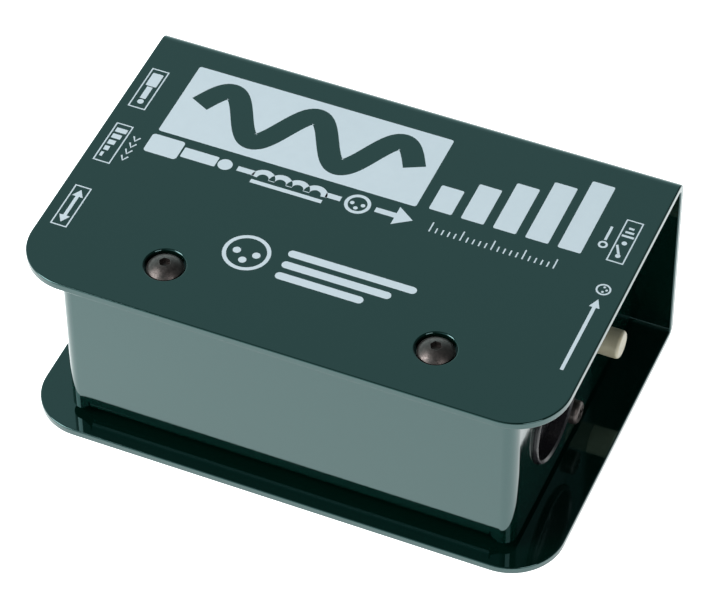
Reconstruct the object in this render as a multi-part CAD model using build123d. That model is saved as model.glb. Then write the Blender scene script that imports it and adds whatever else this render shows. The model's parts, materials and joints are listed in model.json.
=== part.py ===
from build123d import *
import os
from math import copysign, sqrt

# Direct injection box. Millimetres, +Z up, origin on the floor under the middle of the case.
# X runs from the input end to the output end, the open front faces -Y.

# ---------------------------------------------------------------- driving dimensions: case
CASE_LENGTH = 127.0
CASE_DEPTH = 82.8
SHELL_HEIGHT = 49.6
SHEET = 1.9                 # 14 gauge steel, shell and chassis alike
PAD_THICKNESS = 1.6
PAD_INSET = 3.5
PAD_CORNER = 8.0
LIP_CORNER = 12.7           # plan radius of the plates' front corners
SHELL_BEND = 3.0            # outside radius of the two back bends
SHEET_EDGE = 0.35           # rounding that the enamel leaves on a cut edge

FRONT_RECESS = 5.3          # front panel behind the plates' front edges
END_RECESS = 9.6            # end panels inside the plates' ends
PLATE_GAP = 1.9             # air between the chassis and each plate
CHASSIS_CORNER = 3.0        # outside radius of the chassis's two upright bends
FLANGE_BEND = 2.4           # outside radius where the front panel turns into a flange
FLANGE_DEPTH = 17.5
FLANGE_END_GAP = 5.4        # each flange stops this far short of the chassis's ends
RELIEF_WIDTH = 0.4
RELIEF_HEIGHT = 2.8
CORNER_DROP = 1.8           # the corners reach this far past the ends of the flanges' bends
BACK_CLEARANCE = 0.6

SHELL_Z0 = PAD_THICKNESS
SHELL_Z1 = SHELL_Z0 + SHELL_HEIGHT
CHASSIS_Z0 = SHELL_Z0 + SHEET + PLATE_GAP
CHASSIS_Z1 = SHELL_Z1 - SHEET - PLATE_GAP
SIDE = CASE_LENGTH / 2
LIP = CASE_DEPTH / 2
END_OUT = SIDE - END_RECESS         # outer face of an end panel
END_IN = END_OUT - SHEET
FRONT_OUT = FRONT_RECESS - LIP      # outer face of the front panel
FRONT_IN = FRONT_OUT + SHEET
CHASSIS_BACK = LIP - SHEET - BACK_CLEARANCE
FLANGE_X = END_OUT - FLANGE_END_GAP
FLANGE_BACK = FRONT_OUT + FLANGE_DEPTH

# ---------------------------------------------------------------- cover screws
COVER_SCREWS = [(-31.9, -27.1), (31.9, -27.1)]
RECESS_RADIUS = 4.6
RECESS_DEPTH = PLATE_GAP    # so that the recess's underside rests on the chassis
RECESS_WALL = 1.4
RECESS_EDGE = 0.45
SCREW_CLEAR_RADIUS = 2.3
COVER_WASHER_RADIUS = 4.3
COVER_WASHER = 0.75
COVER_WASHER_EDGE = 0.12
COVER_HEAD_RADIUS = 4.05
COVER_HEAD_HEIGHT = 2.2
COVER_HEAD_RIM = 0.5
COVER_SHANK_RADIUS = 2.05
COVER_SHANK_LENGTH = 7.0
COVER_HEX = 2.4
COVER_HEX_DEPTH = 1.3
CLINCH_RADIUS = 4.2
CLINCH_HEIGHT = 2.2
CLINCH_BORE = 2.08

# ---------------------------------------------------------------- circuit board
BOARD_Z0 = 11.0
BOARD_Z1 = 12.6
BOARD_X = (-51.6, 49.0)
BOARD_Y = (-33.5, 33.5)
BOARD_NOTCH_X = 46.0        # the board steps back here, clear of the output connector's flange
BOARD_NOTCH_Y = (-27.6, 4.8)
PIN_Z = 9.4                 # lower end of every soldered pin
STANDOFFS = [(-20.0, -29.0), (20.0, -29.0)]
STANDOFF_RADIUS = 2.9
STANDOFF_SPIGOT = 1.9
M3_CLEAR_RADIUS = 1.6
M3_BORE = 1.48
M3_SHANK = 1.45
M3_HEAD_RADIUS = 2.8
M3_HEAD_HEIGHT = 1.9
HOLE_PLAY = 0.15            # space round a pin in its board hole

# ---------------------------------------------------------------- jacks, at the input end
JACK_Y = {"input": 22.1, "thru": -18.9}
JACK_Z = 22.1
JACK_LENGTH = 25.5
JACK_HALF_WIDTH = 8.0
JACK_TOP = 8.5              # above the jack's axis
BUSH_RADIUS = 4.76          # 3/8 inch - 32 thread, major radius
BUSH_ROOT = 4.35
BUSH_PITCH = 0.79
BUSH_BORE = 3.25            # takes a 6.35 mm plug
BUSH_TIP = -59.0
BUSH_INNER = -45.6
BUSH_FLANGE_RADIUS = 6.2
BUSH_FLANGE = 1.0
PANEL_HOLE = 4.9
CAVITY_RADIUS = 3.7
CAVITY_END = -27.9
WASHER_RADIUS = 7.0
WASHER_THICKNESS = 0.6
NUT_FLATS = 12.7
NUT_THICKNESS = 2.2
NUT_SLOPE = (0.05, 0.09)    # turned-off corners: height and width, as shares of the flats
SPRING_PIVOT = (-44.0, 5.4)         # X, and height above the jack's axis
SPRING_LINE = [(-33.6, 3.6), (-31.6, 2.6), (-29.8, 3.8)]
SPRING_SHEET = 0.4
SPRING_WIDTH = 3.2
SPRING_ROLL = 0.70
SPRING_SEAT = 0.76
POCKET_X = (-43.6, -28.3)
POCKET_HEIGHT = (2.0, 7.0)
POCKET_HALF_WIDTH = 2.1
JACK_PINS_X = [-49.0, -38.0, -29.5]
JACK_PIN = (0.8, 1.4)
JACK_PIN_TOP = 16.0

# ---------------------------------------------------------------- push switches, drawn at +X
SWITCH_Y = {"pad": 2.6, "lift": 15.9}
SWITCH_Z = 20.7
SWITCH_X = (31.0, 47.0)
SWITCH_HALF = 4.5
SWITCH_TOP = 25.7
SWITCH_WALL = 1.2
SWITCH_CAVITY = 3.5
SWITCH_FLOOR = 3.6          # cavity floor below the plunger's axis
SLIDER_X = (37.8, 45.6)
SLIDER_HALF = 3.3
SLIDER_BOTTOM = 2.9
STEM_HALF = 1.65
STEM_PLAY = 0.15
STEM_TIP = 57.0
CAP_RADIUS = 3.35
CAP_X = (51.0, 59.7)
CAP_EDGE = 0.8
CAP_HOLE = 3.9
SEAT_RADIUS = 2.2
SEAT_DEPTH = 2.0
COIL_RADIUS = 1.6
COIL_WIRE = 0.2
COIL_TURNS = 5
CONTACT_X = (39.0, 43.6)
CONTACT_SHEET = 0.25
CONTACT_HALF = 0.5
DIMPLE_RADIUS = 0.2
POLE_Y = [-2.0, 2.0]
SWITCH_PINS_X = [36.0, 39.6, 43.2]
SWITCH_PIN = (0.4, 0.8)
PIN_HEAD = 3.45             # pin heads end this far below the plunger's axis

# ---------------------------------------------------------------- output connector
XLR_Y = -11.9
XLR_Z = 25.7
XLR_HOLE = 12.8
XLR_NOSE = 12.55
XLR_PROUD = 1.0
XLR_NOSE_EDGE = 0.35
XLR_MOUTH = 11.7
XLR_CUP = 8.1
XLR_MOUTH_DEPTH = 3.6       # the mouth steps down to the cup at this depth
XLR_LEAD_IN = 0.45          # slope at the mouth and at the cup's edge
XLR_FLANGE = (33.0, 35.0)
XLR_FLANGE_THICKNESS = 2.4
XLR_BODY = 10.2
XLR_BACK = 32.0
XLR_INSERT_X = (33.5, 40.0)
XLR_PIN_RADIUS = 1.2
XLR_PIN_TIP = 51.4
XLR_TAIL = 0.5
XLR_TAIL_BEND = 1.2
XLR_PINS = [(-5.1, 0.0, 30.0), (5.1, 0.0, 30.0), (0.0, -5.1, 31.2)]     # Y, Z off axis, tail X
XLR_SCREWS = [(12.3, -13.6), (-12.3, 13.6)]
KEY_HALF = 1.2
KEY_HEIGHT = 0.9

# ---------------------------------------------------------------- transformer
CAN_SIZE = (34.0, 30.0)
CAN_TOP = 41.0
CAN_WALL = 0.8
BASE_Z = (13.2, 15.0)
CORE_WIDTH = 28.0
CORE_STACK = 10.0
CORE_Z = (16.4, 39.4)
CORE_LEG = 9.0              # centre leg; each outer leg and yoke is half of it
BOBBIN_WALL = 0.7
WINDING = 1.9
TRANSFORMER_PINS = [(x, y) for x in (-12.0, 12.0) for y in (-8.0, 0.0, 8.0)]
TRANSFORMER_PIN = 0.5

# ---------------------------------------------------------------- small parts on the board
RESISTOR_X = -8.0
RESISTOR_Y = [20.0, 23.5, 27.0, 30.5]
LIFT_RESISTOR = (22.0, 29.0)
RESISTOR_RADIUS = 1.15
RESISTOR_LENGTH = 6.3
RESISTOR_END = 0.8          # each end of a resistor swells over this length
RESISTOR_SWELL = 0.15
LEAD_SPAN = 11.0
LEAD_RADIUS = 0.3
LEAD_BEND = 0.8
CAPACITOR = (16.0, 22.5)
CAPACITOR_SIZE = (8.0, 4.0, 7.5)
CAPACITOR_PITCH = 5.0


# ---------------------------------------------------------------- helpers
def block(x, y, z):
    """Box between three (low, high) pairs."""
    spans = [sorted(pair) for pair in (x, y, z)]
    middle = [(low + high) / 2 for low, high in spans]
    size = [high - low for low, high in spans]
    return Pos(*middle) * Box(*size)


def around(centre, half):
    """(low, high) pair, half a width each side of a centre."""
    return (centre - half, centre + half)


def bar(radius, x, y, z):
    """Round bar along X."""
    low, high = sorted(x)
    return Pos((low + high) / 2, y, z) * Rot(0, 90, 0) * Cylinder(radius, high - low)


def post(radius, x, y, z):
    """Round bar along Z."""
    low, high = sorted(z)
    return Pos(x, y, (low + high) / 2) * Cylinder(radius, high - low)


def hex_nut(flats, thickness, bore):
    """Hexagon nut standing on z = 0, its corners turned off on the outer side."""
    nut = extrude(RegularPolygon(flats / 2, 6, major_radius=False), thickness)
    beyond_corners = flats / sqrt(3) + 0.1
    turned = Cylinder(beyond_corners, thickness, align=(Align.CENTER, Align.CENTER, Align.MIN))
    turned = chamfer(turned.edges().sort_by(Axis.Z)[-1], *[flats * share for share in NUT_SLOPE])
    return (nut & turned) - Cylinder(bore, 3 * thickness)


def pan_screw(shank_length):
    """M3 pan-head cross screw, underside of the head at z = 0, shank down."""
    head = Cylinder(M3_HEAD_RADIUS, M3_HEAD_HEIGHT, align=(Align.CENTER, Align.CENTER, Align.MIN))
    head = fillet(head.edges().sort_by(Axis.Z)[-1], 0.9)
    for size in ((0.7, 3.2), (3.2, 0.7)):
        head -= Pos(0, 0, M3_HEAD_HEIGHT) * Box(*size, 2.0)
    return head + post(M3_SHANK, 0, 0, (-shank_length, 0))


def bent_wire(radius, bend, points):
    """Round wire along straight runs joined by tangent arcs."""
    path = FilletPolyline(*points, radius=bend)
    return sweep(Plane(path @ 0, z_dir=path % 0) * Circle(radius), path=path)


def sheet_plan(x, y, z, corner):
    """Upright block whose two front corners are rounded in plan."""
    slab = block(x, y, z)
    return fillet(slab.edges().filter_by(Axis.Z).group_by(Axis.Y)[0], corner)


def folded_channel(x, y, z, outside, thickness, open_side):
    """Channel folded from sheet along X: a web and two flanges that end on the open side."""
    index = 0 if open_side > 0 else -1
    skin = block(x, y, z)
    skin = fillet(skin.edges().filter_by(Axis.X).group_by(Axis.Y)[index], outside)
    inner_y = (y[0] + thickness, y[1] + 1) if open_side > 0 else (y[0] - 1, y[1] - thickness)
    hollow = block((x[0] - 1, x[1] + 1), inner_y, (z[0] + thickness, z[1] - thickness))
    hollow = fillet(hollow.edges().filter_by(Axis.X).group_by(Axis.Y)[index], outside - thickness)
    return skin - hollow


# ---------------------------------------------------------------- case
def outer_shell():
    """Top plate, back wall and bottom plate folded from one sheet, with four pressed recesses."""
    shell = folded_channel((-SIDE, SIDE), (-LIP, LIP), (SHELL_Z0, SHELL_Z1), SHELL_BEND, SHEET, -1)
    shell &= sheet_plan((-SIDE, SIDE), (-LIP, LIP), (SHELL_Z0 - 1, SHELL_Z1 + 1), LIP_CORNER)

    def is_seam(edge):
        bounds = edge.bounding_box().size
        bend_line = bounds.X > CASE_LENGTH - 1 and edge.center().Y > 0
        corner_line = bounds.X < 0.01 and bounds.Y < 0.01 and bounds.Z < 2 * SHEET
        return bend_line or corner_line

    rim = [edge for edge in shell.edges() if not is_seam(edge)]
    shell = fillet(rim, SHEET_EDGE)
    for x, y in COVER_SCREWS:
        for outside, inside in ((SHELL_Z1, CHASSIS_Z1), (SHELL_Z0, CHASSIS_Z0)):
            inward = copysign(1, inside - outside)
            shell += post(RECESS_RADIUS + RECESS_WALL, x, y, (outside + inward * SHEET / 2, inside))
            recess = post(RECESS_RADIUS, x, y, (outside, outside + inward * RECESS_DEPTH))
            mouth = Pos(x, y, outside) * Torus(RECESS_RADIUS + RECESS_EDGE, RECESS_EDGE)
            flare = post(RECESS_RADIUS + RECESS_EDGE, x, y, (outside, outside + inward * RECESS_EDGE))
            shell -= recess + (flare - Pos(0, 0, inward * RECESS_EDGE) * mouth)
            shell -= post(SCREW_CLEAR_RADIUS, x, y, (outside, inside + inward))
    return shell


def corner_slope(side, edge, inward):
    """Wedge cut from the front panel's edge between a flange and the corner bend beside it."""
    start, end = side * FLANGE_X, side * (END_OUT - CHASSIS_CORNER)
    corners = [(start, edge - inward), (end, edge - inward), (end, edge), (start, edge + inward * CORNER_DROP)]
    outline = make_face(Plane.XZ * Polyline(*corners, close=True))
    wedge = extrude(outline, FRONT_IN - FRONT_OUT + 2, dir=(0, 1, 0))
    return Pos(0, FRONT_OUT - 1, 0) * wedge


def chassis():
    """Front panel with two inward flanges, and two end panels, folded from one sheet."""
    height = (CHASSIS_Z0, CHASSIS_Z1)
    body = sheet_plan((-END_OUT, END_OUT), (FRONT_OUT, CHASSIS_BACK), height, CHASSIS_CORNER)
    body -= sheet_plan((-END_IN, END_IN), (FRONT_IN, CHASSIS_BACK + 1), height, CHASSIS_CORNER - SHEET)
    span = (-FLANGE_X, FLANGE_X)
    body -= block(span, (FRONT_OUT - 1, FRONT_IN), height)
    body += folded_channel(span, (FRONT_OUT, FLANGE_BACK), height, FLANGE_BEND, SHEET, 1)
    for side in (-1, 1):
        slot = (side * FLANGE_X, side * (FLANGE_X + RELIEF_WIDTH))
        body -= block(slot, (FRONT_OUT - 1, FRONT_IN + 1), (CHASSIS_Z0, CHASSIS_Z0 + RELIEF_HEIGHT))
        body -= block(slot, (FRONT_OUT - 1, FRONT_IN + 1), (CHASSIS_Z1 - RELIEF_HEIGHT, CHASSIS_Z1))
        body -= corner_slope(side, CHASSIS_Z0, 1)
        body -= corner_slope(side, CHASSIS_Z1, -1)
    for x, y in COVER_SCREWS:
        body -= post(SCREW_CLEAR_RADIUS, x, y, height)
    for x, y in STANDOFFS:
        body -= post(STANDOFF_SPIGOT, x, y, (CHASSIS_Z0, CHASSIS_Z0 + SHEET))
    for y in JACK_Y.values():
        body -= bar(PANEL_HOLE, (-END_OUT - 1, -END_IN + 1), y, JACK_Z)
    body -= bar(CAP_HOLE, (-END_OUT - 1, -END_IN + 1), SWITCH_Y["pad"], SWITCH_Z)
    body -= bar(CAP_HOLE, (END_IN - 1, END_OUT + 1), SWITCH_Y["lift"], SWITCH_Z)
    body -= bar(XLR_HOLE, (END_IN - 1, END_OUT + 1), XLR_Y, XLR_Z)
    for y, z in XLR_SCREWS:
        body -= bar(M3_CLEAR_RADIUS, (END_IN - 1, END_OUT + 1), XLR_Y + y, XLR_Z + z)
    rims = [edge for edge in body.edges().filter_by(GeomType.CIRCLE)
            if abs(abs(edge.center().X) - END_OUT) < 0.01 and edge.radius > M3_CLEAR_RADIUS + 0.1]
    return fillet(rims, SHEET_EDGE)


def bottom_pad():
    """No-slip sheet stuck under the bottom plate, with a hole at each cover screw."""
    x = (PAD_INSET - SIDE, SIDE - PAD_INSET)
    y = (PAD_INSET - LIP, LIP - PAD_INSET)
    pad = block(x, y, (0, PAD_THICKNESS))
    pad = fillet(pad.edges().filter_by(Axis.Z), PAD_CORNER)
    for place in COVER_SCREWS:
        pad -= post(RECESS_RADIUS + 1, *place, (-1, PAD_THICKNESS + 1))
    return pad


def button_screw():
    """Button-head socket screw, underside of the head at z = 0, shank down."""
    rim = COVER_HEAD_RIM
    rise = COVER_HEAD_HEIGHT - rim
    dome_radius = (COVER_HEAD_RADIUS**2 + rise**2) / (2 * rise)
    half_way = COVER_HEAD_RADIUS / 2
    half_height = COVER_HEAD_HEIGHT - dome_radius + sqrt(dome_radius**2 - half_way**2)
    dome = ThreePointArc((0, COVER_HEAD_HEIGHT), (half_way, half_height), (COVER_HEAD_RADIUS, rim))
    sides = Polyline((COVER_HEAD_RADIUS, rim), (COVER_HEAD_RADIUS, 0), (COVER_SHANK_RADIUS, 0),
                     (COVER_SHANK_RADIUS, -COVER_SHANK_LENGTH), (0, -COVER_SHANK_LENGTH),
                     (0, COVER_HEAD_HEIGHT))
    screw = revolve(Plane.XZ * make_face([dome, sides]), Axis.Z)
    socket = extrude(RegularPolygon(COVER_HEX / 2, 6, major_radius=False), COVER_HEX_DEPTH + 1)
    return screw - Pos(0, 0, COVER_HEAD_HEIGHT - COVER_HEX_DEPTH) * socket


def cover_washers(seat, way):
    """Flat steel washer in each recess of one plate."""
    rings = [post(COVER_WASHER_RADIUS, x, y, (seat, seat + way * COVER_WASHER)) for x, y in COVER_SCREWS]
    bores = [post(SCREW_CLEAR_RADIUS, x, y, (seat - 1, seat + 1)) for x, y in COVER_SCREWS]
    washers = [ring - bore for ring, bore in zip(rings, bores)]
    rims = [washer.edges().filter_by(GeomType.CIRCLE).group_by(SortBy.RADIUS)[-1] for washer in washers]
    return Compound([chamfer(rim, COVER_WASHER_EDGE) for rim in rims])


def top_cover_washers():
    return cover_washers(SHELL_Z1 - RECESS_DEPTH, 1)


def bottom_cover_washers():
    return cover_washers(SHELL_Z0 + RECESS_DEPTH, -1)


def top_cover_screws():
    seat = SHELL_Z1 - RECESS_DEPTH + COVER_WASHER
    return Compound([Pos(x, y, seat) * button_screw() for x, y in COVER_SCREWS])


def bottom_cover_screws():
    seat = SHELL_Z0 + RECESS_DEPTH - COVER_WASHER
    return Compound([Pos(x, y, seat) * Rot(180, 0, 0) * button_screw() for x, y in COVER_SCREWS])


def clinch_nuts():
    """Round steel nuts pressed onto the inner faces of the chassis flanges."""
    nuts = []
    for x, y in COVER_SCREWS:
        for face, way in ((CHASSIS_Z0 + SHEET, 1), (CHASSIS_Z1 - SHEET, -1)):
            nut = post(CLINCH_RADIUS, x, y, (face, face + way * CLINCH_HEIGHT))
            free_edge = nut.edges().filter_by(GeomType.CIRCLE).sort_by(Axis.Z)[-1 if way > 0 else 0]
            nut = chamfer(free_edge, 0.4)
            nuts.append(nut - post(CLINCH_BORE, x, y, (face - way, face + way * (CLINCH_HEIGHT + 1))))
    return Compound(nuts)


# ---------------------------------------------------------------- circuit board
def pin_holes():
    """Centre and radius of every hole that a soldered pin needs in the board."""
    slack = HOLE_PLAY
    holes = [(x, y, M3_CLEAR_RADIUS) for x, y in STANDOFFS]
    holes += [(x, y, 0.81 + slack) for y in JACK_Y.values() for x in JACK_PINS_X]
    for name, side in (("pad", -1), ("lift", 1)):
        holes += [(side * x, SWITCH_Y[name] + pole, 0.45 + slack) for x in SWITCH_PINS_X for pole in POLE_Y]
    holes += [(x, XLR_Y + y, XLR_TAIL + slack) for y, _, x in XLR_PINS]
    holes += [(x, y, TRANSFORMER_PIN + slack) for x, y in TRANSFORMER_PINS]
    for x, y in [(RESISTOR_X, y) for y in RESISTOR_Y] + [LIFT_RESISTOR]:
        holes += [(x + end * LEAD_SPAN / 2, y, LEAD_RADIUS + slack) for end in (-1, 1)]
    x, y = CAPACITOR
    holes += [(x + end * CAPACITOR_PITCH / 2, y, LEAD_RADIUS + slack) for end in (-1, 1)]
    return holes


def circuit_board():
    board = block(BOARD_X, BOARD_Y, (BOARD_Z0, BOARD_Z1))
    board = fillet(board.edges().filter_by(Axis.Z), 1.5)
    board -= block((BOARD_NOTCH_X, BOARD_X[1] + 1), BOARD_NOTCH_Y, (BOARD_Z0 - 1, BOARD_Z1 + 1))
    cutters = [post(radius, x, y, (BOARD_Z0 - 1, BOARD_Z1 + 1)) for x, y, radius in pin_holes()]
    return board - cutters


def board_standoffs():
    """Hexagon pillars swaged into the chassis's bottom flange."""
    floor = CHASSIS_Z0 + SHEET
    pillar = extrude(RegularPolygon(STANDOFF_RADIUS, 6, major_radius=False), BOARD_Z0 - floor)
    pillar += post(STANDOFF_SPIGOT, 0, 0, (-SHEET, 0))
    pillar -= post(M3_BORE, 0, 0, (-SHEET - 1, BOARD_Z0))
    return Compound([Pos(x, y, floor) * pillar for x, y in STANDOFFS])


def board_screws():
    return Compound([Pos(x, y, BOARD_Z1) * pan_screw(5.0) for x, y in STANDOFFS])


def axial_resistor(x, y):
    """Resistor lying along X on the board, its leads bent down through two holes."""
    z = BOARD_Z1 + RESISTOR_RADIUS + RESISTOR_SWELL
    left = x - LEAD_SPAN / 2
    right = x + LEAD_SPAN / 2
    lead = bent_wire(LEAD_RADIUS, LEAD_BEND, [(left, y, PIN_Z), (left, y, z), (right, y, z), (right, y, PIN_Z)])
    body = bar(RESISTOR_RADIUS, around(x, (RESISTOR_LENGTH - RESISTOR_END) / 2), y, z)
    for end in (-1, 1):
        centre = x + end * (RESISTOR_LENGTH / 2 - RESISTOR_END)
        bulge = bar(RESISTOR_RADIUS + RESISTOR_SWELL, around(centre, RESISTOR_END), y, z)
        body += fillet(bulge.edges().filter_by(GeomType.CIRCLE), 2 * RESISTOR_SWELL)
    return body + lead


def pad_resistors():
    return Compound([axial_resistor(RESISTOR_X, y) for y in RESISTOR_Y])


def lift_resistor():
    return axial_resistor(*LIFT_RESISTOR)


def lift_capacitor():
    """Box film capacitor on two legs."""
    x, y = CAPACITOR
    length, width, height = CAPACITOR_SIZE
    z = BOARD_Z1 + 0.3
    body = block(around(x, length / 2), around(y, width / 2), (z, z + height))
    body = fillet(body.edges(), 0.4)
    for end in (-1, 1):
        body += post(LEAD_RADIUS, x + end * CAPACITOR_PITCH / 2, y, (PIN_Z, z + 0.5))
    return body


# ---------------------------------------------------------------- quarter-inch jacks
def jack_pins(y):
    """Three flat solder pins under a jack."""
    length, width = JACK_PIN
    return Compound([block(around(x, length / 2), around(y, width / 2), (PIN_Z, JACK_PIN_TOP))
                     for x in JACK_PINS_X])


def jack_housing(y):
    """Plastic body, with the plug's channel, the tip spring's pocket and the bush's seat."""
    front = -END_IN
    back = front + JACK_LENGTH
    body = block((front, back), around(y, JACK_HALF_WIDTH), (BOARD_Z1, JACK_Z + JACK_TOP))
    body = fillet(body.edges().filter_by(Axis.X).group_by(Axis.Z)[-1], 1.5)
    body = fillet(body.edges().filter_by(Axis.Z).group_by(Axis.X)[-1], 0.8)
    body -= bar(BUSH_FLANGE_RADIUS, (front - 1, front + BUSH_FLANGE), y, JACK_Z)
    body -= bar(BUSH_RADIUS, (front - 1, BUSH_INNER), y, JACK_Z)
    body -= bar(CAVITY_RADIUS, (BUSH_INNER, CAVITY_END), y, JACK_Z)
    pocket = [JACK_Z + height for height in POCKET_HEIGHT]
    body -= block(POCKET_X, around(y, POCKET_HALF_WIDTH), pocket)
    x, height = SPRING_PIVOT
    seat = Rot(90, 0, 0) * Cylinder(SPRING_SEAT, 2 * POCKET_HALF_WIDTH)
    body -= Pos(x, y, JACK_Z + height) * seat
    return body - jack_pins(y).solids()


def jack_bush(y):
    """Threaded metal sleeve with a flange that the housing carries behind the panel."""
    start = -END_IN
    step = BUSH_PITCH / 2
    turns = int((start - BUSH_TIP - 0.6) / BUSH_PITCH)
    outline = [(BUSH_INNER, BUSH_BORE), (BUSH_INNER, BUSH_RADIUS), (start + BUSH_FLANGE, BUSH_RADIUS),
               (start + BUSH_FLANGE, BUSH_FLANGE_RADIUS), (start, BUSH_FLANGE_RADIUS), (start, BUSH_ROOT)]
    for turn in range(turns):
        crest = start - turn * BUSH_PITCH - step
        outline += [(crest, BUSH_RADIUS), (crest - step, BUSH_ROOT)]
    outline += [(BUSH_TIP, BUSH_ROOT - 0.1), (BUSH_TIP, BUSH_BORE + 0.5), (BUSH_TIP + 0.5, BUSH_BORE)]
    section = make_face(Polyline(*outline, close=True))
    return Pos(0, y, JACK_Z) * revolve(section, Axis.X)


def jack_washer(y):
    x = (-END_OUT - WASHER_THICKNESS, -END_OUT)
    washer = bar(WASHER_RADIUS, x, y, JACK_Z)
    return washer - bar(BUSH_RADIUS + 0.04, (x[0] - 1, x[1] + 1), y, JACK_Z)


def jack_nut(y):
    nut = Rot(0, -90, 0) * hex_nut(NUT_FLATS, NUT_THICKNESS, BUSH_RADIUS + 0.03)
    return Pos(-END_OUT - WASHER_THICKNESS, y, JACK_Z) * nut


def jack_tip_spring(y):
    """Leaf contact that rocks on its rolled end as a plug's tip pushes it outwards."""
    x, height = SPRING_PIVOT
    leaf = trace(Polyline(SPRING_PIVOT, *SPRING_LINE), line_width=SPRING_SHEET)
    leaf = extrude(Plane.XZ * leaf, SPRING_WIDTH / 2, both=True)
    roll = Pos(x, 0, height) * Rot(90, 0, 0) * Cylinder(SPRING_ROLL, SPRING_WIDTH)
    return Pos(0, y, JACK_Z) * (leaf + roll)


# ---------------------------------------------------------------- push switches
def switch_pins(y):
    """Six flat solder pins, two poles of three, with their heads in the cavity's floor."""
    length, width = SWITCH_PIN
    return Compound([block(around(x, length / 2), around(y + pole, width / 2), (PIN_Z, SWITCH_Z - PIN_HEAD))
                     for x in SWITCH_PINS_X for pole in POLE_Y])


def switch_body(y):
    body = block(SWITCH_X, around(y, SWITCH_HALF), (BOARD_Z1, SWITCH_TOP))
    body = fillet(body.edges().filter_by(Axis.X).group_by(Axis.Z)[-1], 0.6)
    inside = (SWITCH_X[0] + SWITCH_WALL, SWITCH_X[1] - SWITCH_WALL)
    body -= block(inside, around(y, SWITCH_CAVITY), (SWITCH_Z - SWITCH_FLOOR, SWITCH_Z + SWITCH_CAVITY))
    opening = STEM_HALF + STEM_PLAY
    body -= block((inside[1], SWITCH_X[1] + 1), around(y, opening), around(SWITCH_Z, opening))
    return body - switch_pins(y).solids()


def switch_plunger(y):
    """Slider block with a spring seat behind and a square stem in front."""
    slider = block(SLIDER_X, around(y, SLIDER_HALF), (SWITCH_Z - SLIDER_BOTTOM, SWITCH_Z + SLIDER_HALF))
    slider += block((SLIDER_X[1], STEM_TIP), around(y, STEM_HALF), around(SWITCH_Z, STEM_HALF))
    return slider - bar(SEAT_RADIUS, (SLIDER_X[0] - 1, SLIDER_X[0] + SEAT_DEPTH), y, SWITCH_Z)


def button_cap(y):
    """Round cap with a soft face edge and a square socket for the stem."""
    cap = bar(CAP_RADIUS, CAP_X, y, SWITCH_Z)
    ends = cap.edges().filter_by(GeomType.CIRCLE).sort_by(Axis.X)
    cap = fillet(ends[-1], CAP_EDGE)
    return cap - block((CAP_X[0] - 1, STEM_TIP), around(y, STEM_HALF), around(SWITCH_Z, STEM_HALF))


def return_spring(y):
    """Coil spring between the switch body's back wall and the slider's seat."""
    start = SWITCH_X[0] + SWITCH_WALL + COIL_WIRE
    length = SLIDER_X[0] + SEAT_DEPTH - COIL_WIRE - start
    path = Helix(length / COIL_TURNS, length, COIL_RADIUS)
    coil = sweep(Plane(path @ 0, z_dir=path % 0) * Circle(COIL_WIRE), path=path, is_frenet=True)
    return Pos(start, y, SWITCH_Z) * Rot(0, 90, 0) * coil


def moving_contacts(y):
    """Two bridge strips under the slider, each with two dimples that rub on the pin heads."""
    top = SWITCH_Z - SLIDER_BOTTOM
    strips = []
    for pole in POLE_Y:
        strip = block(CONTACT_X, around(y + pole, CONTACT_HALF), (top - CONTACT_SHEET, top))
        for x in (CONTACT_X[0] + 0.6, CONTACT_X[1] - 0.4):
            dimple = Rot(90, 0, 0) * Cylinder(DIMPLE_RADIUS, 2 * CONTACT_HALF)
            strip += Pos(x, y + pole, top - CONTACT_SHEET) * dimple
        strips.append(strip)
    return Compound(strips)


# ---------------------------------------------------------------- output connector
def xlr_shell():
    """Black housing: flange behind the panel, nose through it, cup for the mating plug."""
    half_y, half_z = XLR_FLANGE[0] / 2, XLR_FLANGE[1] / 2
    rim_x = END_OUT + XLR_PROUD
    flange = block((END_IN - XLR_FLANGE_THICKNESS, END_IN), around(XLR_Y, half_y), around(XLR_Z, half_z))
    flange = fillet(flange.edges().filter_by(Axis.X), 3.0)
    nose = bar(XLR_NOSE, (END_IN, rim_x), XLR_Y, XLR_Z)
    nose = fillet(nose.edges().filter_by(GeomType.CIRCLE).sort_by(Axis.X)[-1], XLR_NOSE_EDGE)
    shell = flange + nose + bar(XLR_BODY, (XLR_BACK, END_IN), XLR_Y, XLR_Z)
    step_x = rim_x - XLR_MOUTH_DEPTH
    lead_in = XLR_LEAD_IN
    bore = [(XLR_BACK - 1, 0), (rim_x + lead_in, 0), (rim_x + lead_in, XLR_MOUTH + 2 * lead_in),
            (rim_x - lead_in, XLR_MOUTH), (step_x, XLR_MOUTH), (step_x, XLR_CUP + lead_in),
            (step_x - lead_in, XLR_CUP), (XLR_BACK - 1, XLR_CUP)]
    shell -= Pos(0, XLR_Y, XLR_Z) * revolve(make_face(Polyline(*bore, close=True)), Axis.X)
    key_z = (XLR_Z + XLR_CUP - KEY_HEIGHT, XLR_Z + XLR_CUP + 0.5)
    shell += block((XLR_INSERT_X[1], step_x - 1), around(XLR_Y, KEY_HALF), key_z)
    for y, z in XLR_SCREWS:
        shell -= bar(M3_CLEAR_RADIUS, (END_IN - 2 * XLR_FLANGE_THICKNESS, END_IN + 1), XLR_Y + y, XLR_Z + z)
    return shell


def xlr_insert():
    """Disc that carries the three contact pins at the bottom of the cup."""
    disc = bar(XLR_CUP, XLR_INSERT_X, XLR_Y, XLR_Z)
    for y, z, _ in XLR_PINS:
        disc -= bar(XLR_PIN_RADIUS, (XLR_INSERT_X[0] - 1, XLR_INSERT_X[1] + 1), XLR_Y + y, XLR_Z + z)
    return disc


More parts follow.
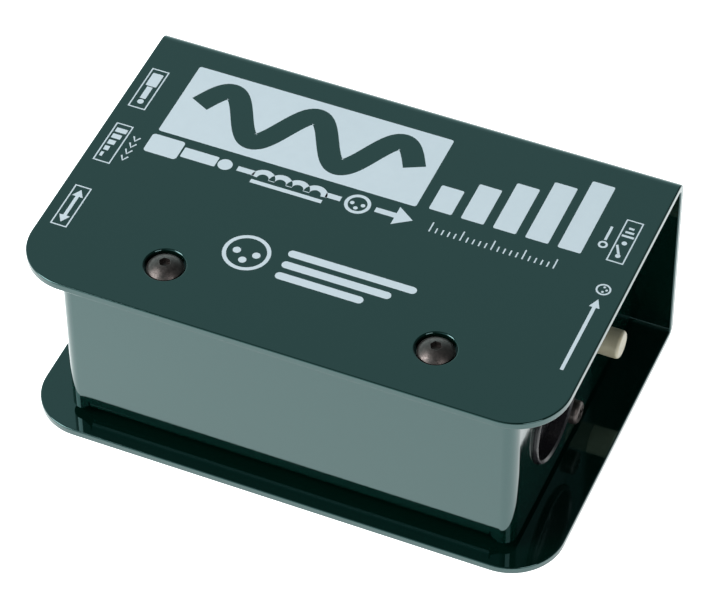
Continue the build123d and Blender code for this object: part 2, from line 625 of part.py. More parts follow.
def xlr_pins():
    """Three contact pins, each with a round tip and a tail bent down into the board."""
    pins = []
    for y, z, tail_x in XLR_PINS:
        y, z = XLR_Y + y, XLR_Z + z
        pin = bar(XLR_PIN_RADIUS, (XLR_INSERT_X[0], XLR_PIN_TIP), y, z)
        pin = fillet(pin.edges().filter_by(GeomType.CIRCLE).sort_by(Axis.X)[-1], XLR_PIN_RADIUS * 0.8)
        tail = bent_wire(XLR_TAIL, XLR_TAIL_BEND, [(XLR_INSERT_X[0] + 1, y, z), (tail_x, y, z), (tail_x, y, PIN_Z)])
        pins.append(pin + tail)
    return Compound(pins)


def xlr_screws():
    shank = SHEET + XLR_FLANGE_THICKNESS + 3.0
    return Compound([Pos(END_OUT, XLR_Y + y, XLR_Z + z) * Rot(0, 90, 0) * pan_screw(shank)
                     for y, z in XLR_SCREWS])


def xlr_nuts():
    face = END_IN - XLR_FLANGE_THICKNESS
    return Compound([Pos(face, XLR_Y + y, XLR_Z + z) * Rot(0, -90, 0) * hex_nut(5.5, 2.4, M3_BORE)
                     for y, z in XLR_SCREWS])


# ---------------------------------------------------------------- transformer
def centred(size, z):
    """Block of a plan size about the middle of the case."""
    return block(around(0, size[0] / 2), around(0, size[1] / 2), z)


def transformer_can():
    """Drawn shield can, open below, standing on the board."""
    can = centred(CAN_SIZE, (BOARD_Z1, CAN_TOP))
    can = fillet(can.edges().filter_by(Axis.Z), 3.0)
    can = fillet(can.edges().group_by(Axis.Z)[-1], 2.0)
    inner = centred([side - 2 * CAN_WALL for side in CAN_SIZE], (BOARD_Z1 - 1, CAN_TOP - CAN_WALL))
    inner = fillet(inner.edges().filter_by(Axis.Z), 3.0 - CAN_WALL)
    inner = fillet(inner.edges().group_by(Axis.Z)[-1], 2.0 - CAN_WALL)
    return can - inner


def transformer_base():
    """Insulating base that closes the can and carries the pins."""
    base = centred([side - 2 * CAN_WALL for side in CAN_SIZE], BASE_Z)
    base = fillet(base.edges().filter_by(Axis.Z), 3.0 - CAN_WALL)
    return base - transformer_pins().solids()


def transformer_pins():
    return Compound([post(TRANSFORMER_PIN, x, y, (PIN_Z, BASE_Z[1])) for x, y in TRANSFORMER_PINS])


def core_window():
    """(low, high) pairs of the right-hand core window, in X and Z."""
    yoke = CORE_LEG / 2
    return (CORE_LEG / 2, CORE_WIDTH / 2 - yoke), (CORE_Z[0] + yoke, CORE_Z[1] - yoke)


def transformer_core():
    """Stack of E and I laminations, with the edges of the sheets showing as shallow grooves."""
    core = centred((CORE_WIDTH, CORE_STACK), CORE_Z)
    window_x, window_z = core_window()
    for side in (-1, 1):
        core -= block([side * x for x in window_x], around(0, CORE_STACK), window_z)
    groove_count = 9
    for groove in range(1, groove_count + 1):
        y = CORE_STACK * (groove / (groove_count + 1) - 0.5)
        ring = centred((CORE_WIDTH + 1, 0.2), (CORE_Z[0] - 1, CORE_Z[1] + 1))
        ring -= centred((CORE_WIDTH - 0.4, 1), (CORE_Z[0] + 0.2, CORE_Z[1] - 0.2))
        core -= Pos(0, y, 0) * ring
    return core


def ring_round_leg(inner, outer, z):
    """Square ring round the centre leg, between two distances from its faces."""
    ring = centred((CORE_LEG + 2 * outer, CORE_STACK + 2 * outer), z)
    ring = fillet(ring.edges().filter_by(Axis.Z), outer * 0.6)
    hole = centred((CORE_LEG + 2 * inner, CORE_STACK + 2 * inner), (z[0] - 1, z[1] + 1))
    if inner:
        hole = fillet(hole.edges().filter_by(Axis.Z), inner * 0.6)
    return ring - hole


def transformer_bobbin():
    """Spool on the centre leg: a square tube with a flange at each end of the window."""
    window_x, window_z = core_window()
    reach = window_x[1] - window_x[0] - 0.2
    spool = ring_round_leg(0, BOBBIN_WALL, window_z)
    spool += ring_round_leg(0, reach, (window_z[0], window_z[0] + BOBBIN_WALL))
    spool += ring_round_leg(0, reach, (window_z[1] - BOBBIN_WALL, window_z[1]))
    return spool


def winding(layer):
    """One wound coil: layer 0 lies on the bobbin, layer 1 on layer 0."""
    window_z = core_window()[1]
    inner = BOBBIN_WALL + layer * WINDING
    return ring_round_leg(inner, inner + WINDING, (window_z[0] + BOBBIN_WALL, window_z[1] - BOBBIN_WALL))


# ---------------------------------------------------------------- the assembly
def all_parts():
    parts = {
        "outer_shell": outer_shell(),
        "chassis": chassis(),
        "bottom_pad": bottom_pad(),
        "top_cover_washers": top_cover_washers(),
        "bottom_cover_washers": bottom_cover_washers(),
        "top_cover_screws": top_cover_screws(),
        "bottom_cover_screws": bottom_cover_screws(),
        "clinch_nuts": clinch_nuts(),
        "circuit_board": circuit_board(),
        "board_standoffs": board_standoffs(),
        "board_screws": board_screws(),
        "pad_resistors": pad_resistors(),
        "lift_resistor": lift_resistor(),
        "lift_capacitor": lift_capacitor(),
        "xlr_shell": xlr_shell(),
        "xlr_insert": xlr_insert(),
        "xlr_pins": xlr_pins(),
        "xlr_screws": xlr_screws(),
        "xlr_nuts": xlr_nuts(),
        "transformer_can": transformer_can(),
        "transformer_base": transformer_base(),
        "transformer_core": transformer_core(),
        "transformer_bobbin": transformer_bobbin(),
        "primary_winding": winding(0),
        "secondary_winding": winding(1),
        "transformer_pins": transformer_pins(),
    }
    jack_pieces = {"housing": jack_housing, "bush": jack_bush, "washer": jack_washer, "nut": jack_nut,
                   "tip_spring": jack_tip_spring, "pins": jack_pins}
    for jack, y in JACK_Y.items():
        for piece, make in jack_pieces.items():
            parts[f"{jack}_jack_{piece}"] = make(y)
    switch_pieces = {"switch_body": switch_body, "switch_plunger": switch_plunger, "button_cap": button_cap,
                     "return_spring": return_spring, "moving_contacts": moving_contacts,
                     "switch_pins": switch_pins}
    for switch, y in SWITCH_Y.items():
        for piece, make in switch_pieces.items():
            shape = make(y)
            at_input_end = switch == "pad"
            parts[f"{switch}_{piece}"] = mirror(shape, about=Plane.YZ) if at_input_end else shape
    return parts


os.makedirs("parts", exist_ok=True)
for name, shape in all_parts().items():
    export_step(shape, f"parts/{name}.step")
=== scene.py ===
import json
import math

import bpy
import bmesh
from mathutils import Matrix, Vector
from mathutils.geometry import tessellate_polygon


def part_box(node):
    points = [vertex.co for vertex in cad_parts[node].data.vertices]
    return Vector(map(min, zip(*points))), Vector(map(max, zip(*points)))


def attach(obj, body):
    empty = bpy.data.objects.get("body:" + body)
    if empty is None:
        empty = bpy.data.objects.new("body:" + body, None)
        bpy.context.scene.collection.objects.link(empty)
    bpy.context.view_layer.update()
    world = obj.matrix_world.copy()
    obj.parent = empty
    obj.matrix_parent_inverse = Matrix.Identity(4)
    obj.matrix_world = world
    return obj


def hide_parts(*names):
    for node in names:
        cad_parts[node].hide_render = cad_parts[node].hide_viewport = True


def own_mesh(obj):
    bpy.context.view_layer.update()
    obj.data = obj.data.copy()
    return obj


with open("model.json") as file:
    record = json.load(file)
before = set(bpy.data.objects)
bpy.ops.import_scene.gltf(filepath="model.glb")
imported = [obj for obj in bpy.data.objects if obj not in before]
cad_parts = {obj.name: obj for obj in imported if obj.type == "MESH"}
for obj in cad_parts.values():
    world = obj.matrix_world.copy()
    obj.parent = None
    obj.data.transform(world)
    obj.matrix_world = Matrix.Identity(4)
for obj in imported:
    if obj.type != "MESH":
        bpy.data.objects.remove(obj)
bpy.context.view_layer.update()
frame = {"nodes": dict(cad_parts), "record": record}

MM = 0.001
SHELL_LOW, SHELL_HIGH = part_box("outer_shell")
TOP = SHELL_HIGH.z                  # outer face of the top plate
BOARD_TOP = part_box("circuit_board")[1].z
ROOT = "enclosure"
LAYOUT_SCALE = (1.0057, 0.982)
LAYOUT_SHIFT = (0.1, 0.2)


# ---------------------------------------------------------------- shader helpers
class Surface:
    """A Principled material with short ways to add texture to it."""

    def __init__(self, name, colour, roughness, metallic=0.0, **sockets):
        self.material = bpy.data.materials.new(name)
        self.material.use_nodes = True
        self.tree = self.material.node_tree
        self.shader = self.tree.nodes["Principled BSDF"]
        self.colour = (*colour, 1.0)
        self.put("Base Color", self.colour)
        self.put("Roughness", roughness)
        self.put("Metallic", metallic)
        for socket, value in sockets.items():
            self.put(socket.replace("_", " "), value)
        self.coordinates = self.node("ShaderNodeTexCoord").outputs["Object"]

    def put(self, socket, value):
        self.shader.inputs[socket].default_value = value

    def node(self, kind, **settings):
        made = self.tree.nodes.new(kind)
        for key, value in settings.items():
            setattr(made, key, value)
        return made

    def link(self, source, target):
        self.tree.links.new(source, target)

    def noise(self, size_mm, detail=3.0, stretch=(1, 1, 1)):
        """Noise from 0 to 1 whose features are about size_mm across."""
        mapping = self.node("ShaderNodeMapping")
        mapping.inputs["Scale"].default_value = [factor / (size_mm * MM) for factor in stretch]
        self.link(self.coordinates, mapping.inputs["Vector"])
        texture = self.node("ShaderNodeTexNoise")
        texture.inputs["Scale"].default_value = 1.0
        texture.inputs["Detail"].default_value = detail
        self.link(mapping.outputs["Vector"], texture.inputs["Vector"])
        return texture.outputs["Fac"]

    def spread(self, value, low, high, start=0.3, end=0.7):
        """value's middle range stretched to run from low to high."""
        ramp = self.node("ShaderNodeMapRange")
        ramp.inputs["From Min"].default_value = start
        ramp.inputs["From Max"].default_value = end
        ramp.inputs["To Min"].default_value = low
        ramp.inputs["To Max"].default_value = high
        self.link(value, ramp.inputs["Value"])
        return ramp.outputs["Result"]

    def mix_colour(self, factor, first, second):
        """Colour that goes from first to second with factor; each is a colour or a socket."""
        mix = self.node("ShaderNodeMix", data_type="RGBA")
        self.link(factor, mix.inputs["Factor"])
        for socket, value in ((mix.inputs[6], first), (mix.inputs[7], second)):
            if isinstance(value, bpy.types.NodeSocket):
                self.link(value, socket)
            else:
                socket.default_value = (*value[:3], 1.0)
        return mix.outputs[2]

    def tint(self, factor, other):
        """Base colour turns into the other colour where factor is 1."""
        source = self.shader.inputs["Base Color"]
        first = source.links[0].from_socket if source.links else self.colour
        self.link(self.mix_colour(factor, first, other), source)

    def rough(self, value, low, high):
        self.link(self.spread(value, low, high), self.shader.inputs["Roughness"])

    def bump(self, height, depth_mm, target="Normal"):
        """Relief of a given depth, on top of any relief there already."""
        bump = self.node("ShaderNodeBump")
        bump.inputs["Strength"].default_value = 1.0
        bump.inputs["Distance"].default_value = depth_mm * MM
        self.link(height, bump.inputs["Height"])
        source = self.shader.inputs[target]
        if source.links:
            self.link(source.links[0].from_socket, bump.inputs["Normal"])
        self.link(bump.outputs["Normal"], source)

    def near_edges(self, reach_mm):
        """1 close to a corner or edge of the mesh, 0 on open faces."""
        bevel = self.node("ShaderNodeBevel", samples=6)
        bevel.inputs["Radius"].default_value = reach_mm * MM
        geometry = self.node("ShaderNodeNewGeometry")
        turn = self.node("ShaderNodeVectorMath", operation="DOT_PRODUCT")
        self.link(bevel.outputs["Normal"], turn.inputs[0])
        self.link(geometry.outputs["Normal"], turn.inputs[1])
        return self.spread(turn.outputs["Value"], 1.0, 0.0, 0.80, 0.995)

    def position(self, axis):
        split = self.node("ShaderNodeSeparateXYZ")
        self.link(self.coordinates, split.inputs["Vector"])
        return split.outputs[axis]

    def calculate(self, operation, first, second=0.0):
        maths = self.node("ShaderNodeMath", operation=operation)
        for socket, value in zip(maths.inputs, (first, second)):
            if isinstance(value, bpy.types.NodeSocket):
                self.link(value, socket)
            else:
                socket.default_value = value
        return maths.outputs["Value"]

    def stripes(self, axis, pitch_mm):
        """Wave from 0 to 1 that repeats along an axis."""
        turns = self.calculate("MULTIPLY", self.position(axis), 2 * math.pi / (pitch_mm * MM))
        wave = self.calculate("SINE", turns)
        return self.spread(wave, 0.0, 1.0, -1.0, 1.0)


# ---------------------------------------------------------------- materials
def enamel(name):
    """Dark green baked enamel: a clear hard gloss with faint orange peel."""
    paint = Surface(name, (0.0003, 0.0062, 0.0042), 0.05, IOR=1.70, Specular_Tint=(0.60, 1.0, 1.0, 1.0))
    paint.tint(paint.spread(paint.noise(18.0, 2.0), 0.0, 0.35), (0.0004, 0.0080, 0.0056))
    # Edges and corners are painted a paler green: a painted highlight along every edge.
    paint.tint(paint.calculate("MULTIPLY", paint.near_edges(0.4), 0.25), (0.002, 0.020, 0.016))
    paint.rough(paint.noise(6.0, 4.0), 0.04, 0.075)
    paint.bump(paint.noise(1.6, 1.0), 0.0028)
    return paint.material


def white_ink():
    """Screen-printed ink: nearly flat white with the faint mesh of the screen."""
    ink = Surface("white_ink", (0.62, 0.67, 0.73), 0.42, Coat_Weight=0.25, Coat_Roughness=0.2)
    ink.tint(ink.spread(ink.noise(2.5, 4.0), 0.0, 0.30), (0.56, 0.61, 0.67))
    ink.rough(ink.noise(0.5, 2.0), 0.36, 0.50)
    ink.bump(ink.noise(0.25, 2.0), 0.004)
    return ink.material


def black_oxide():
    """Oiled black oxide: brown-black steel, its edges painted paler as a highlight."""
    steel = Surface("black_oxide", (0.066, 0.055, 0.052), 0.34, 0.85)
    steel.tint(steel.spread(steel.noise(0.8, 4.0), 0.0, 0.7), (0.11, 0.092, 0.088))
    # Every edge is painted a paler brown-grey: a painted highlight.
    steel.tint(steel.calculate("MULTIPLY", steel.near_edges(0.18), 0.6), (0.26, 0.235, 0.23))
    steel.rough(steel.noise(0.6, 4.0), 0.30, 0.50)
    steel.bump(steel.noise(0.3, 3.0), 0.012)
    return steel.material


def metal(name, colour, roughness, grain_mm=0.3, stretch=(1, 1, 1), bump_mm=0.002):
    """Plated or plain metal with fine grain and a slightly cloudy finish."""
    plate = Surface(name, colour, roughness, 1.0)
    darker = [channel * 0.78 for channel in colour]
    plate.tint(plate.spread(plate.noise(2.0, 4.0), 0.0, 0.6), darker)
    plate.rough(plate.noise(grain_mm, 3.0, stretch), roughness * 0.75, roughness * 1.35)
    plate.bump(plate.noise(grain_mm, 3.0, stretch), bump_mm)
    return plate.material


def moulding(name, colour, roughness, grain_mm=0.12, bump_mm=0.006, **sockets):
    """Moulded plastic with a fine eroded skin and edges painted paler as a highlight."""
    plastic = Surface(name, colour, roughness, **sockets)
    lighter = [min(1.0, channel * 1.3 + 0.002) for channel in colour]
    plastic.tint(plastic.spread(plastic.noise(3.0, 3.0), 0.0, 0.5), lighter)
    # Every edge is painted paler: a painted highlight.
    edge_highlight = [min(1.0, channel * 1.5 + 0.004) for channel in colour]
    plastic.tint(plastic.calculate("MULTIPLY", plastic.near_edges(0.2), 0.4), edge_highlight)
    plastic.rough(plastic.noise(0.5, 3.0), roughness * 0.85, min(1.0, roughness * 1.2))
    plastic.bump(plastic.noise(grain_mm, 2.0), bump_mm)
    return plastic.material


def neoprene():
    """No-slip sheet: matt black closed-cell rubber with a woven embossing."""
    rubber = Surface("neoprene", (0.016, 0.016, 0.017), 0.85)
    weave = rubber.calculate("MULTIPLY", rubber.stripes("X", 1.1), rubber.stripes("Y", 1.1))
    rubber.tint(rubber.spread(rubber.noise(5.0, 4.0), 0.0, 0.5), (0.028, 0.028, 0.029))
    rubber.rough(rubber.noise(0.6, 3.0), 0.75, 0.95)
    rubber.bump(weave, 0.12)
    rubber.bump(rubber.noise(0.3, 3.0), 0.03)
    return rubber.material


def board_laminate():
    """Green solder mask with the tracks under it showing as paler bands."""
    board = Surface("board_laminate", (0.004, 0.075, 0.030), 0.32, Coat_Weight=0.6, Coat_Roughness=0.12)
    patches = board.spread(board.noise(14.0, 0.0), 0, 1, 0.48, 0.5)
    tracks = board.calculate("MULTIPLY", board.stripes("Y", 5.2), patches)
    board.tint(board.spread(tracks, 0.0, 1.0, 0.70, 0.78), (0.020, 0.16, 0.070))
    board.rough(board.noise(0.8, 3.0), 0.26, 0.40)
    board.bump(board.spread(tracks, 0.0, 1.0, 0.66, 0.82), 0.035)
    return board.material


def banded_resistor():
    """Pale blue lacquered body with colour rings; the wire ends are tinned."""
    body = Surface("resistor_body", (0.24, 0.42, 0.58), 0.3, Coat_Weight=0.4)
    rings = body.stripes("X", 1.45)
    body.tint(body.spread(rings, 0.0, 1.0, 0.86, 0.90), (0.16, 0.035, 0.015))
    near_board = body.spread(body.position("Z"), 1.0, 0.0, BOARD_TOP - 0.05 * MM, BOARD_TOP + 0.02 * MM)
    body.tint(near_board, (0.70, 0.70, 0.68))
    body.rough(body.noise(0.4, 3.0), 0.24, 0.40)
    body.bump(body.noise(0.5, 2.0), 0.01)
    return body.material


def wound_copper():
    """Enamelled wire laid in close turns."""
    wire = Surface("copper_wire", (0.46, 0.16, 0.06), 0.3, 0.85)
    turns = wire.stripes("Z", 0.42)
    # The grooves between the turns are painted darker: painted shade.
    wire.tint(wire.spread(turns, 0.75, 0.0, 0.1, 0.6), (0.13, 0.04, 0.015))
    wire.rough(wire.noise(0.4, 3.0), 0.22, 0.42)
    wire.bump(turns, 0.12)
    return wire.material


def laminations():
    """Stacked thin steel sheets, edge on."""
    steel = Surface("lamination_steel", (0.16, 0.16, 0.165), 0.5, 0.8)
    sheets = steel.stripes("Y", 0.5)
    steel.tint(steel.spread(sheets, 0.0, 0.7, 0.2, 0.8), (0.06, 0.055, 0.05))
    steel.rough(steel.noise(0.7, 4.0), 0.38, 0.62)
    steel.bump(sheets, 0.05)
    return steel.material


def make_materials():
    """One material for each slot that the record names."""
    shiny = {"Coat_Weight": 0.3, "Coat_Roughness": 0.15}
    return {
        "shell_enamel": enamel("shell_enamel"),
        "chassis_enamel": enamel("chassis_enamel"),
        "neoprene": neoprene(),
        "black_oxide": black_oxide(),
        "zinc_steel": metal("zinc_steel", (0.60, 0.61, 0.63), 0.28),
        "board_laminate": board_laminate(),
        "resistor_body": banded_resistor(),
        "capacitor_box": moulding("capacitor_box", (0.52, 0.050, 0.024), 0.3, **shiny),
        "black_plastic": moulding("black_plastic", (0.008, 0.007, 0.009), 0.30),
        "black_plastic_insert": moulding("black_plastic_insert", (0.006, 0.006, 0.006), 0.5),
        "contact_metal": metal("contact_metal", (0.80, 0.79, 0.76), 0.2, 0.2),
        "shield_can": metal("shield_can", (0.50, 0.50, 0.48), 0.42, 0.5, (1, 1, 0.15), 0.006),
        "brown_board": moulding("brown_board", (0.16, 0.070, 0.028), 0.55),
        "lamination_steel": laminations(),
        "white_plastic": moulding("white_plastic", (0.70, 0.69, 0.64), 0.4, Subsurface_Weight=0.05),
        "copper_wire": wound_copper(),
        "jack_plastic": moulding("jack_plastic", (0.018, 0.018, 0.019), 0.5),
        "nickel_brass": metal("nickel_brass", (0.66, 0.65, 0.61), 0.18, 0.25),
        "spring_metal": metal("spring_metal", (0.72, 0.62, 0.42), 0.25, 0.3, (0.2, 1, 1)),
        "switch_plastic": moulding("switch_plastic", (0.020, 0.020, 0.021), 0.45),
        "ivory_plastic": moulding("ivory_plastic", (0.33, 0.30, 0.215), 0.34, 0.15, 0.004, Subsurface_Weight=0.08,
                                  Subsurface_Radius=(0.002, 0.0015, 0.001), Subsurface_Scale=1.0),
    }


# ---------------------------------------------------------------- printed shapes, in mm on the top plate
def rectangle(x0, x1, y0, y1, corner=0.0):
    """Closed outline of a rectangle, its corners rounded."""
    if not corner:
        return [(x0, y0), (x1, y0), (x1, y1), (x0, y1)]
    centres = [(x1 - corner, y1 - corner), (x0 + corner, y1 - corner),
               (x0 + corner, y0 + corner), (x1 - corner, y0 + corner)]
    points = []
    for quarter, (x, y) in enumerate(centres):
        points += arc(x, y, corner, 90 * quarter, 90 * quarter + 90, 6)
    return points


def arc(x, y, radius, start, end, steps):
    """Points along an arc, angles in degrees."""
    angles = [math.radians(start + (end - start) * step / steps) for step in range(steps + 1)]
    return [(x + radius * math.cos(angle), y + radius * math.sin(angle)) for angle in angles]


def circle(x, y, radius, steps=48):
    return arc(x, y, radius, 0, 360, steps)[:-1]


def stroke(points, width):
    """Outline of a line drawn with a flat-ended pen."""
    left, right = [], []
    for index, point in enumerate(points):
        before = Vector(points[max(index - 1, 0)])
        after = Vector(points[min(index + 1, len(points) - 1)])
        along = (after - before).normalized()
        side = Vector((-along.y, along.x)) * width / 2
        left.append(tuple(Vector(point) + side))
        right.append(tuple(Vector(point) - side))
    return right + left[::-1]


def turned(shapes, x, y, degrees):
    """Shapes drawn about (0, 0), turned and moved to (x, y)."""
    turn = Matrix.Rotation(math.radians(degrees), 2)
    return [[[tuple(turn @ Vector(point) + Vector((x, y))) for point in loop] for loop in shape]
            for shape in shapes]


def on_plate(point):
    """Fits a layout drawn for a plate 1 mm deeper to this one."""
    return Vector([(scale * value + shift) * MM
                   for value, scale, shift in zip(point, LAYOUT_SCALE, LAYOUT_SHIFT)] + [0])


def print_piece(name, shapes):
    """One thin layer of ink; each shape is an outline followed by the outlines of its holes."""
    thickness = 0.02 * MM
    sink = 0.01 * MM
    mesh = bmesh.new()
    for loops in shapes:
        flat = [[on_plate(point) for point in loop] for loop in loops]
        corners = [point for loop in flat for point in loop]
        upper = [mesh.verts.new((point.x, point.y, TOP + thickness)) for point in corners]
        lower = [mesh.verts.new((point.x, point.y, TOP - sink)) for point in corners]
        for triangle in tessellate_polygon(flat):
            mesh.faces.new([upper[index] for index in triangle])
            mesh.faces.new([lower[index] for index in reversed(triangle)])
        start = 0
        for loop in flat:
            count = len(loop)
            for step in range(count):
                here, following = start + step, start + (step + 1) % count
                mesh.faces.new([upper[here], upper[following], lower[following], lower[here]])
            start += count
    bmesh.ops.recalc_face_normals(mesh, faces=mesh.faces)
    data = bpy.data.meshes.new(name)
    mesh.to_mesh(data)
    mesh.free()
    piece = bpy.data.objects.new(name, data)
    bpy.context.scene.collection.objects.link(piece)
    data.materials.append(INK)
    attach(piece, ROOT)
    return piece


def wave_panel():
    """White panel with a broad sine wave left clear."""
    left, right, low, high = -51.0, 11.5, 10.4, 33.4
    middle = (low + high) / 2
    panel = rectangle(left, right, low, high, 0.6)
    steps, periods, reach = 120, 2.5, 6.6
    start, end = left + 5.0, right - 5.0
    line = [(start + (end - start) * step / steps,
             middle + reach * math.sin(2 * math.pi * periods * step / steps)) for step in range(steps + 1)]
    print_piece("wave_panel_print", [[panel, stroke(line, 5.2)]])


def level_bars():
    """Five upright bars that rise to the right."""
    left, right, low, high = 14.3, 49.9, 11.0, 33.4
    count, gap = 5, 2.2
    width = (right - left - gap * (count - 1)) / count
    bars = []
    for index in range(count):
        x = left + index * (width + gap)
        top = low + (high - low) * (0.36 + 0.64 * index / (count - 1))
        bars.append([rectangle(x, x + width, low, top, 0.4)])
    print_piece("level_bars_print", bars)


def coil(x, y, turns, radius, pen):
    """Half-round loops side by side, as a winding is drawn, centred on (x, y)."""
    line = []
    for turn in range(turns):
        centre = x + (2 * turn + 1 - turns) * radius
        line += arc(centre, y, radius, 180, 0, 14)
    return stroke(line, pen)


def signal_line():
    """A circuit line in bold strokes: plug, transformer winding, three-pole connector, arrow."""
    y, pen = 6.1, 1.5
    shapes = [[rectangle(-51.5, -43.5, y - 3.0, y + 3.0, 0.8)],
              [rectangle(-43.0, -34.6, y - 1.6, y + 1.6, 0.3)],
              [circle(-32.6, y, 1.7)],
              [rectangle(-29.6, -25.4, y - pen / 2, y + pen / 2)],
              [coil(-16.8, y - 0.9, 4, 2.1, pen)],
              [rectangle(-25.4, -8.2, y - 3.0, y - 1.9)],
              [rectangle(-8.2, -4.6, y - pen / 2, y + pen / 2)]]
    shapes += connector_face(-0.6, y, 3.0, 0.8)
    shapes += [[rectangle(3.6, 8.4, y - pen / 2, y + pen / 2)],
               [[(8.4, y - 2.9), (12.5, y), (8.4, y + 2.9)]]]
    print_piece("signal_line_print", shapes)


def fine_scale():
    """A short ruler of thin ticks."""
    left, right, low = 17.0, 46.0, 4.4
    count = 21
    ticks = []
    for index in range(count):
        x = left + (right - left) * index / (count - 1)
        height = 3.0 if index % 5 == 0 else 1.6
        ticks.append([rectangle(x - 0.16, x + 0.16, low, low + height)])
    print_piece("fine_scale_print", ticks)


def connector_face(x, y, radius, pen):
    """A ring with three dots, as a three-pole connector is drawn."""
    shapes = [[circle(x, y, radius, 64), circle(x, y, radius - pen, 64)]]
    for degrees in (0, 180, 270):
        angle = math.radians(degrees)
        reach = 0.43 * radius
        shapes.append([circle(x + reach * math.cos(angle), y + reach * math.sin(angle), 0.17 * radius, 28)])
    return shapes


def emblem():
    """A plain connector face beside three rounded bars."""
    x, y = -17.0, -17.4
    shapes = connector_face(x, y, 5.4, 0.9)
    for row, right in enumerate((21.5, 17.0, 12.0)):
        bar_y = y + 3.6 - 3.6 * row
        shapes.append([rectangle(-8.6, right, bar_y - 1.05, bar_y + 1.05, 1.0)])
    print_piece("emblem_print", shapes)


def label_box(x0, x1, y0, y1, pen=0.32):
    """Outlined box round a pictogram."""
    return [rectangle(x0, x1, y0, y1), rectangle(x0 + pen, x1 - pen, y0 + pen, y1 - pen)]


def plug_shape():
    """Side view of a phone plug, about (0, 0), pointing to +X."""
    return [[rectangle(-5.4, -1.0, -1.3, 1.3, 0.3)],
            [rectangle(-0.7, 3.4, -0.7, 0.7, 0.1)],
            [circle(4.5, 0, 0.75, 24)]]


def falling_steps():
    """Five bars that get shorter, about (0, 0)."""
    return [[rectangle(-5.0 + 2.1 * n, -3.6 + 2.1 * n, -1.3, 1.4 - 0.5 * n)] for n in range(5)]


def two_way_arrow():
    return [[rectangle(-3.2, 3.2, -0.4, 0.4)], [[(3.2, -1.3), (5.4, 0), (3.2, 1.3)]],
            [[(-3.2, 1.3), (-5.4, 0), (-3.2, -1.3)]]]


def lifted_ground():
    """An earth symbol beside an open contact."""
    bars = [[rectangle(1.4 + 1.3 * n, 2.0 + 1.3 * n, -1.4 + 0.4 * n, 1.4 - 0.4 * n)] for n in range(3)]
    contact = [[stroke([(-4.2, 0.0), (-1.5, 1.3)], 0.55)],
               [circle(-4.7, 0, 0.6, 20)],
               [circle(-0.5, 0, 0.6, 20)]]
    return bars + contact


def end_labels():
    """Boxed pictograms beside the sockets and buttons, turned to be read from each end."""
    boxes = {
        "input_label_print": ((-60.8, -56.5, 15.1, 28.7), plug_shape(), -90),
        "pad_label_print": ((-60.6, -56.4, -3.9, 9.1), falling_steps(), -90),
        "thru_label_print": ((-60.5, -56.5, -25.9, -12.7), two_way_arrow(), -90),
        "lift_label_print": ((55.6, 59.6, 11.4, 25.1), lifted_ground(), 90),
    }
    for name, (corners, picture, turn) in boxes.items():
        x0, x1, y0, y1 = corners
        middle = ((x0 + x1) / 2, (y0 + y1) / 2)
        print_piece(name, [label_box(*corners)] + turned(picture, *middle, turn))
    marks = [[stroke([(-55.1, y + 0.8), (-54.3, y - 0.6), (-53.5, y + 0.8)], 0.4)]
             for y in (5.6, 3.4, 1.2, -1.0)]
    print_piece("pad_amount_print", marks)
    pin = [[circle(-2.4, 0, 1.1, 28), circle(-2.4, 0, 0.6, 28)], [rectangle(-0.9, 3.6, -0.3, 0.3)]]
    print_piece("lift_pin_print", turned(pin, 53.4, 18.0, 90))
    arrow = [[rectangle(-13.6, 6.4, -0.4, 0.4)], [[(6.4, -1.2), (9.0, 0), (6.4, 1.2)]]]
    print_piece("output_label_print", turned(arrow + connector_face(12.2, 0, 1.7, 0.4), 58.3, -9.5, 90))


# ---------------------------------------------------------------- return springs
def coil_points(low, length, middle, radius, wire):
    """Centre line of a spring along X, as (point, outward direction) pairs; its end turns lie closed."""
    turns, closed, per_turn = 7.0, 0.8, 24
    points = []
    for step in range(int(turns) * per_turn + 1):
        turn = step / per_turn
        turns_closed = min(turn, closed) + max(turn - turns + closed, 0.0)
        open_share = min(max((turn - closed) / (turns - 2 * closed), 0.0), 1.0)
        rise = 2 * wire * turns_closed + (length - 4 * wire * closed) * open_share
        angle = 2 * math.pi * turn
        outward = Vector((0, math.cos(angle), math.sin(angle)))
        points.append((Vector((low + rise, middle.y, middle.z)) + radius * outward, outward))
    return points


def wire_mesh(name, points, wire):
    """Round wire swept along the points."""
    sides = 8
    mesh = bmesh.new()
    rings = []
    for centre, outward in points:
        rings.append([])
        for side in range(sides):
            angle = 2 * math.pi * side / sides
            spoke = math.cos(angle) * outward + Vector((math.sin(angle), 0, 0))
            rings[-1].append(mesh.verts.new(centre + wire * spoke))
    for before, after in zip(rings, rings[1:]):
        for side in range(sides):
            following = (side + 1) % sides
            mesh.faces.new([before[side], before[following], after[following], after[side]])
    mesh.faces.new(rings[0][::-1])
    mesh.faces.new(rings[-1])
    bmesh.ops.recalc_face_normals(mesh, faces=mesh.faces)
    data = bpy.data.meshes.new(name)
    mesh.to_mesh(data)
    mesh.free()
    data.shade_smooth()
    return data


def return_spring(switch):
    """Coil spring with closed ends, in the box of the CAD spring that it replaces."""
    node = f"{switch}_return_spring"
    low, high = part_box(node)
    middle = (low + high) / 2
    wire = 0.2 * MM
    length = high.x - low.x
    points = coil_points(low.x + wire, length - 2 * wire, middle, (high.y - low.y) / 2 - wire, wire)
    name = f"{switch}_spring_coil"
    data = wire_mesh(name, points, wire)
    data.materials.append(MATERIALS["spring_metal"])
    piece = bpy.data.objects.new(name, data)
    bpy.context.scene.collection.objects.link(piece)
    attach(piece, ROOT)
    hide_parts(node)
    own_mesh(piece)


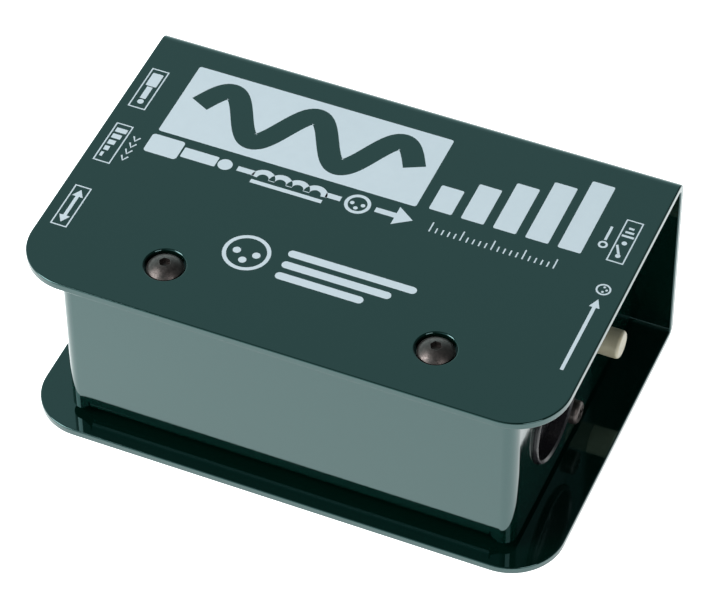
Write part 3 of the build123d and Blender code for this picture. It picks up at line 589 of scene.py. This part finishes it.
# ---------------------------------------------------------------- stage
def floor():
    """Plain pale floor, slightly self-lit as a light table is."""
    bpy.ops.mesh.primitive_circle_add(vertices=96, radius=4.0, fill_type="NGON", location=(0, 0, 0))
    piece = bpy.context.object
    piece.name = "studio_floor"
    paint = Surface("studio_floor", (0.86, 0.86, 0.86), 0.7,
                    Emission_Color=(1, 1, 1, 1), Emission_Strength=1.42)
    paint.tint(paint.spread(paint.noise(400.0, 2.0), 0.0, 0.4), (0.84, 0.845, 0.85))
    piece.data.materials.append(paint.material)


def area_light(name, place, aim, size, power):
    data = bpy.data.lights.new(name, "AREA")
    data.shape = "RECTANGLE"
    data.size, data.size_y = size
    data.energy = power
    light = bpy.data.objects.new(name, data)
    light.location = place
    light.rotation_euler = (Vector(place) - Vector(aim)).to_track_quat("Z", "Y").to_euler()
    bpy.context.scene.collection.objects.link(light)


def studio_world():
    """Pale surroundings, bright at the horizon, dimmer overhead and dark on the right."""
    world = bpy.data.worlds.new("studio")
    bpy.context.scene.world = world
    world.use_nodes = True
    tree = world.node_tree
    coordinates = tree.nodes.new("ShaderNodeTexCoord")
    split = tree.nodes.new("ShaderNodeSeparateXYZ")
    ramp = tree.nodes.new("ShaderNodeValToRGB")
    tree.links.new(coordinates.outputs["Generated"], split.inputs["Vector"])
    tree.links.new(split.outputs["Z"], ramp.inputs["Fac"])
    tree.links.new(ramp.outputs["Color"], tree.nodes["Background"].inputs["Color"])
    falloff = tree.nodes.new("ShaderNodeMapRange")
    tree.links.new(split.outputs["X"], falloff.inputs["Value"])
    for socket, value in (("From Min", -0.2), ("From Max", 0.3), ("To Min", 1.0), ("To Max", 0.12)):
        falloff.inputs[socket].default_value = value
    tree.links.new(falloff.outputs["Result"], tree.nodes["Background"].inputs["Strength"])
    stops = ramp.color_ramp.elements
    stops[0].position, stops[0].color = 0.0, (1.6, 1.6, 1.6, 1)
    stops[1].position, stops[1].color = 1.0, (0.16, 0.17, 0.18, 1)
    for position, level in ((0.10, 1.4), (0.30, 0.80), (0.60, 0.66), (0.80, 0.60), (0.90, 0.20)):
        stops.new(position).color = (level * 0.82, level * 1.14, level * 1.14, 1)


def camera():
    """Long lens, looking down on the front and the output end."""
    azimuth, elevation, roll = (math.radians(angle) for angle in (23.58, 46.75, -0.593))
    distance = 0.8512
    target = Vector((0.0023, 0.00053, 0.027))
    back = Vector((math.sin(azimuth) * math.cos(elevation), -math.cos(azimuth) * math.cos(elevation),
                   math.sin(elevation)))
    data = bpy.data.cameras.new("camera")
    data.lens = 189.6
    data.sensor_width = 36.0
    data.clip_start = 0.02
    view = bpy.data.objects.new("camera", data)
    turn = back.to_track_quat("Z", "Y").to_matrix() @ Matrix.Rotation(roll, 3, "Z")
    view.matrix_world = Matrix.Translation(target + back * distance) @ turn.to_4x4()
    bpy.context.scene.collection.objects.link(view)
    bpy.context.scene.camera = view


# ---------------------------------------------------------------- build
MATERIALS = make_materials()
INK = white_ink()
for entry in frame["record"]["subparts"]:
    mesh_materials = frame["nodes"][entry["node"]].data.materials
    mesh_materials.clear()
    mesh_materials.append(MATERIALS[entry["material_slot"]])

wave_panel()
level_bars()
signal_line()
fine_scale()
emblem()
end_labels()
return_spring("pad")
return_spring("lift")

camera()
floor()
studio_world()
area_light("left_softbox", (-0.75, -0.55, 0.75), (0, 0, 0.02), (0.55, 0.7), 12.0)
area_light("right_softbox", (0.85, -0.60, 0.75), (0, 0, 0.02), (0.55, 0.7), 4.5)
bpy.context.scene.view_settings.view_transform = "Standard"
